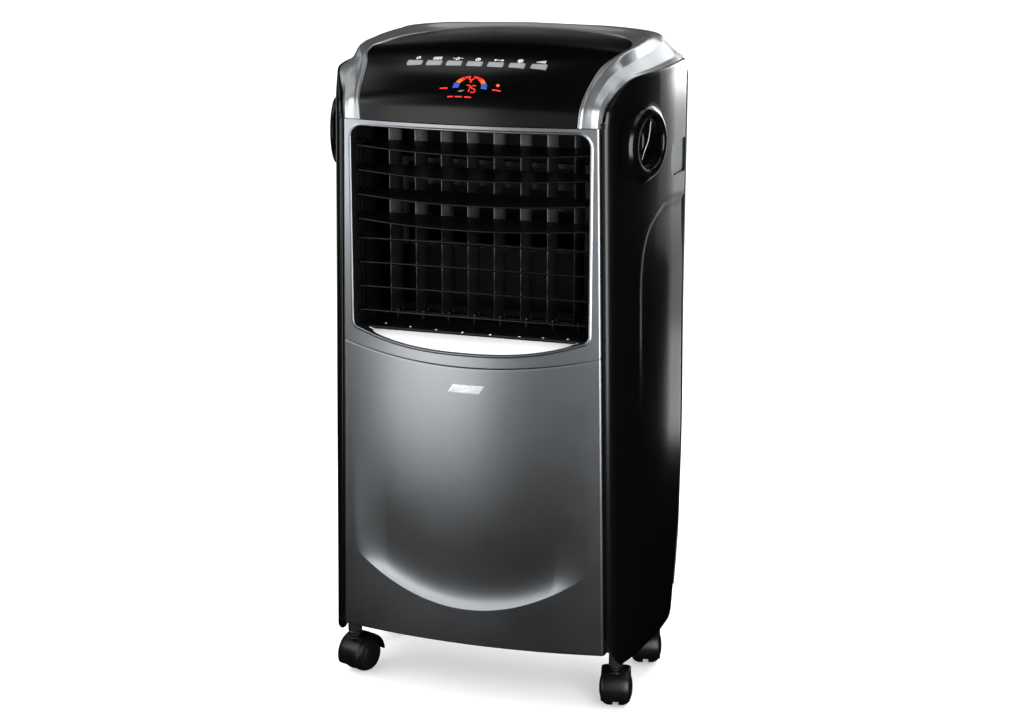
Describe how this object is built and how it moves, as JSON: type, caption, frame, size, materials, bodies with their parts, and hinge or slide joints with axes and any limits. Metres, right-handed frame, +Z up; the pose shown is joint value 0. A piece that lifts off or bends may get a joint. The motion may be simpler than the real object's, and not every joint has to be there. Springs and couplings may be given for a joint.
{
  "type": "evaporative cooler",
  "caption": "Tall portable evaporative air cooler with a bowed silver front, black side panels, louvred outlet, curved control top and swivelling twin-wheel casters.",
  "frame": {"origin": "on the floor under the middle of the body", "axes": "+Z up, the outlet and the silver front face -Y, X across the width, the hand grips at each end"},
  "size_m": [0.4426, 0.2795, 0.87],
  "materials": {
    "silver": "metallic silver lacquer on moulded plastic, satin gloss",
    "bright_silver": "bright silver moulded plastic",
    "gloss_black": "piano black moulded plastic, high gloss",
    "matt_black": "fine-grained black plastic",
    "mid_grey": "mid grey moulded plastic",
    "key_silver": "silver lacquered keys",
    "board_green": "green circuit board",
    "pad_brown": "cellulose honeycomb",
    "tank_grey": "translucent grey polypropylene",
    "steel": "zinc plated motor can",
    "heater_block": "finned ceramic heater rows",
    "caster_black": "black nylon",
    "gland_rubber": "black rubber"
  },
  "bodies": {
    "cabinet": {"front_frame": "silver", "outlet_sill": "bright_silver", "lower_front_panel": "silver", "side_panel_left": "gloss_black", "side_panel_right": "gloss_black", "handle_left": "gloss_black", "handle_right": "gloss_black", "top_cover": "silver", "control_panel": "gloss_black", "control_board": "board_green", "air_duct": "matt_black", "swing_motor": "steel", "heater": "heater_block", "blower_housing": "matt_black", "fan_motor": "steel", "cooling_pad": "pad_brown", "water_distributor": "matt_black", "water_pipe": "mid_grey", "rear_panel": "matt_black", "base_tray": "matt_black", "cord_gland": "gland_rubber"},
    "louvre_1": {"louvre_1": "matt_black"},
    "louvre_2": {"louvre_2": "matt_black"},
    "louvre_3": {"louvre_3": "matt_black"},
    "louvre_4": {"louvre_4": "matt_black"},
    "louvre_5": {"louvre_5": "matt_black"},
    "louvre_6": {"louvre_6": "matt_black"},
    "louvre_7": {"louvre_7": "matt_black"},
    "louvre_8": {"louvre_8": "matt_black"},
    "vane_1": {"vane_1": "matt_black"},
    "vane_2": {"vane_2": "matt_black"},
    "vane_3": {"vane_3": "matt_black"},
    "vane_4": {"vane_4": "matt_black"},
    "vane_5": {"vane_5": "matt_black"},
    "vane_6": {"vane_6": "matt_black"},
    "vane_7": {"vane_7": "matt_black"},
    "vane_8": {"vane_8": "matt_black"},
    "louvre_link_upper": {"louvre_link_upper": "matt_black"},
    "louvre_link_lower": {"louvre_link_lower": "matt_black"},
    "vane_link": {"vane_link": "matt_black"},
    "button_1": {"button_1": "key_silver"},
    "button_2": {"button_2": "key_silver"},
    "button_3": {"button_3": "key_silver"},
    "button_4": {"button_4": "key_silver"},
    "button_5": {"button_5": "key_silver"},
    "button_6": {"button_6": "key_silver"},
    "button_7": {"button_7": "key_silver"},
    "blower_wheel": {"blower_wheel": "matt_black"},
    "tank": {"water_tank": "tank_grey", "pump": "matt_black"},
    "filter": {"filter_frame": "mid_grey"},
    "tank_latch": {"tank_latch": "mid_grey"},
    "caster_fl": {"caster_fl_hood": "caster_black"},
    "caster_fl_wheels": {"caster_fl_wheels": "caster_black"},
    "caster_fr": {"caster_fr_hood": "caster_black"},
    "caster_fr_wheels": {"caster_fr_wheels": "caster_black"},
    "caster_rl": {"caster_rl_hood": "caster_black"},
    "caster_rl_wheels": {"caster_rl_wheels": "caster_black"},
    "caster_rr": {"caster_rr_hood": "caster_black"},
    "caster_rr_wheels": {"caster_rr_wheels": "caster_black"}
  },
  "joints": [
    {"name": "louvre_1_tilt", "type": "hinge", "parent": "cabinet", "child": "louvre_1", "pos_m": [0, -0.0978, 0.7323], "axis": [1, 0, 0], "range_deg": [-44, 11]},
    {"name": "louvre_2_tilt", "type": "hinge", "parent": "cabinet", "child": "louvre_2", "pos_m": [0, -0.0978, 0.7012], "axis": [1, 0, 0], "range_deg": [-44, 11]},
    {"name": "louvre_3_tilt", "type": "hinge", "parent": "cabinet", "child": "louvre_3", "pos_m": [0, -0.0978, 0.6701], "axis": [1, 0, 0], "range_deg": [-44, 11]},
    {"name": "louvre_4_tilt", "type": "hinge", "parent": "cabinet", "child": "louvre_4", "pos_m": [0, -0.0978, 0.639], "axis": [1, 0, 0], "range_deg": [-44, 11]},
    {"name": "louvre_5_tilt", "type": "hinge", "parent": "cabinet", "child": "louvre_5", "pos_m": [0, -0.0978, 0.6079], "axis": [1, 0, 0], "range_deg": [-11, 39]},
    {"name": "louvre_6_tilt", "type": "hinge", "parent": "cabinet", "child": "louvre_6", "pos_m": [0, -0.0978, 0.5768], "axis": [1, 0, 0], "range_deg": [-11, 39]},
    {"name": "louvre_7_tilt", "type": "hinge", "parent": "cabinet", "child": "louvre_7", "pos_m": [0, -0.0978, 0.5457], "axis": [1, 0, 0], "range_deg": [-11, 39]},
    {"name": "louvre_8_tilt", "type": "hinge", "parent": "cabinet", "child": "louvre_8", "pos_m": [0, -0.0978, 0.5146], "axis": [1, 0, 0], "range_deg": [-11, 39]},
    {"name": "louvre_link_upper_lift", "type": "slide", "parent": "cabinet", "child": "louvre_link_upper", "axis": [0, 0, 1], "range_m": [-0.00629, 0.0018]},
    {"name": "louvre_link_lower_lift", "type": "slide", "parent": "cabinet", "child": "louvre_link_lower", "axis": [0, 0, 1], "range_m": [-0.0018, 0.00561]},
    {"name": "vane_1_swing", "type": "hinge", "parent": "cabinet", "child": "vane_1", "pos_m": [-0.12355, -0.0548, 0.62725], "axis": [0, 0, 1], "range_deg": [-30, 30]},
    {"name": "vane_2_swing", "type": "hinge", "parent": "cabinet", "child": "vane_2", "pos_m": [-0.08825, -0.0548, 0.62725], "axis": [0, 0, 1], "range_deg": [-30, 30]},
    {"name": "vane_3_swing", "type": "hinge", "parent": "cabinet", "child": "vane_3", "pos_m": [-0.05295, -0.0548, 0.62725], "axis": [0, 0, 1], "range_deg": [-30, 30]},
    {"name": "vane_4_swing", "type": "hinge", "parent": "cabinet", "child": "vane_4", "pos_m": [-0.01765, -0.0548, 0.62725], "axis": [0, 0, 1], "range_deg": [-30, 30]},
    {"name": "vane_5_swing", "type": "hinge", "parent": "cabinet", "child": "vane_5", "pos_m": [0.01765, -0.0548, 0.62725], "axis": [0, 0, 1], "range_deg": [-30, 30]},
    {"name": "vane_6_swing", "type": "hinge", "parent": "cabinet", "child": "vane_6", "pos_m": [0.05295, -0.0548, 0.62725], "axis": [0, 0, 1], "range_deg": [-30, 30]},
    {"name": "vane_7_swing", "type": "hinge", "parent": "cabinet", "child": "vane_7", "pos_m": [0.08825, -0.0548, 0.62725], "axis": [0, 0, 1], "range_deg": [-30, 30]},
    {"name": "vane_8_swing", "type": "hinge", "parent": "cabinet", "child": "vane_8", "pos_m": [0.12355, -0.0548, 0.62725], "axis": [0, 0, 1], "range_deg": [-30, 30]},
    {"name": "vane_link_shift", "type": "slide", "parent": "cabinet", "child": "vane_link", "axis": [1, 0, 0], "range_m": [-0.0098, 0.0098]},
    {"name": "button_1_press", "type": "slide", "parent": "cabinet", "child": "button_1", "axis": [0, 0.4859, -0.874], "range_m": [0, 0.001], "stiffness_N_per_m": 400, "springref_m": -0.0006},
    {"name": "button_2_press", "type": "slide", "parent": "cabinet", "child": "button_2", "axis": [0, 0.4735, -0.8808], "range_m": [0, 0.001], "stiffness_N_per_m": 400, "springref_m": -0.0006},
    {"name": "button_3_press", "type": "slide", "parent": "cabinet", "child": "button_3", "axis": [0, 0.4662, -0.8847], "range_m": [0, 0.001], "stiffness_N_per_m": 400, "springref_m": -0.0006},
    {"name": "button_4_press", "type": "slide", "parent": "cabinet", "child": "button_4", "axis": [0, 0.4638, -0.8859], "range_m": [0, 0.001], "stiffness_N_per_m": 400, "springref_m": -0.0006},
    {"name": "button_5_press", "type": "slide", "parent": "cabinet", "child": "button_5", "axis": [0, 0.4662, -0.8847], "range_m": [0, 0.001], "stiffness_N_per_m": 400, "springref_m": -0.0006},
    {"name": "button_6_press", "type": "slide", "parent": "cabinet", "child": "button_6", "axis": [0, 0.4735, -0.8808], "range_m": [0, 0.001], "stiffness_N_per_m": 400, "springref_m": -0.0006},
    {"name": "button_7_press", "type": "slide", "parent": "cabinet", "child": "button_7", "axis": [0, 0.4859, -0.874], "range_m": [0, 0.001], "stiffness_N_per_m": 400, "springref_m": -0.0006},
    {"name": "blower_spin", "type": "hinge", "parent": "cabinet", "child": "blower_wheel", "pos_m": [0, 0.0052, 0.4], "axis": [0, 1, 0], "continuous": true},
    {"name": "tank_slide", "type": "slide", "parent": "cabinet", "child": "tank", "axis": [0, 1, 0], "range_m": [0, 0.1]},
    {"name": "filter_slide", "type": "slide", "parent": "cabinet", "child": "filter", "axis": [0, 1, 0], "range_m": [0, 0.12]},
    {"name": "latch_turn", "type": "hinge", "parent": "cabinet", "child": "tank_latch", "pos_m": [0, 0.1305, 0.25], "axis": [0, 1, 0], "range_deg": [0, 90]},
    {"name": "caster_fl_swivel", "type": "hinge", "parent": "cabinet", "child": "caster_fl", "pos_m": [-0.1845, -0.0748, 0.06], "axis": [0, 0, 1], "continuous": true},
    {"name": "caster_fl_roll", "type": "hinge", "parent": "caster_fl", "child": "caster_fl_wheels", "pos_m": [-0.18079, -0.06339, 0.024], "axis": [0.9511, -0.309, 0], "continuous": true},
    {"name": "caster_fr_swivel", "type": "hinge", "parent": "cabinet", "child": "caster_fr", "pos_m": [0.1845, -0.0748, 0.06], "axis": [0, 0, 1], "continuous": true},
    {"name": "caster_fr_roll", "type": "hinge", "parent": "caster_fr", "child": "caster_fr_wheels", "pos_m": [0.1816, -0.06316, 0.024], "axis": [0.9703, 0.2419, 0], "continuous": true},
    {"name": "caster_rl_swivel", "type": "hinge", "parent": "cabinet", "child": "caster_rl", "pos_m": [-0.1845, 0.0772, 0.06], "axis": [0, 0, 1], "continuous": true},
    {"name": "caster_rl_roll", "type": "hinge", "parent": "caster_rl", "child": "caster_rl_wheels", "pos_m": [-0.18242, 0.08902, 0.024], "axis": [0.9848, -0.1736, 0], "continuous": true},
    {"name": "caster_rr_swivel", "type": "hinge", "parent": "cabinet", "child": "caster_rr", "pos_m": [0.1845, 0.0772, 0.06], "axis": [0, 0, 1], "continuous": true},
    {"name": "caster_rr_roll", "type": "hinge", "parent": "caster_rr", "child": "caster_rr_wheels", "pos_m": [0.18099, 0.08868, 0.024], "axis": [0.9563, 0.2924, 0], "continuous": true}
  ],
  "couplings": [
    {"joint": "louvre_2_tilt", "follows": "louvre_1_tilt", "ratio": 1},
    {"joint": "louvre_3_tilt", "follows": "louvre_1_tilt", "ratio": 1},
    {"joint": "louvre_4_tilt", "follows": "louvre_1_tilt", "ratio": 1},
    {"joint": "louvre_6_tilt", "follows": "louvre_5_tilt", "ratio": 1},
    {"joint": "louvre_7_tilt", "follows": "louvre_5_tilt", "ratio": 1},
    {"joint": "louvre_8_tilt", "follows": "louvre_5_tilt", "ratio": 1},
    {"joint": "louvre_link_upper_lift", "follows": "louvre_1_tilt", "m_per_rad": 0.0078},
    {"joint": "louvre_link_lower_lift", "follows": "louvre_5_tilt", "m_per_rad": 0.0078},
    {"joint": "vane_2_swing", "follows": "vane_1_swing", "ratio": 1},
    {"joint": "vane_3_swing", "follows": "vane_1_swing", "ratio": 1},
    {"joint": "vane_4_swing", "follows": "vane_1_swing", "ratio": 1},
    {"joint": "vane_5_swing", "follows": "vane_1_swing", "ratio": 1},
    {"joint": "vane_6_swing", "follows": "vane_1_swing", "ratio": 1},
    {"joint": "vane_7_swing", "follows": "vane_1_swing", "ratio": 1},
    {"joint": "vane_8_swing", "follows": "vane_1_swing", "ratio": 1},
    {"joint": "vane_link_shift", "follows": "vane_1_swing", "m_per_rad": -0.018}
  ]
}
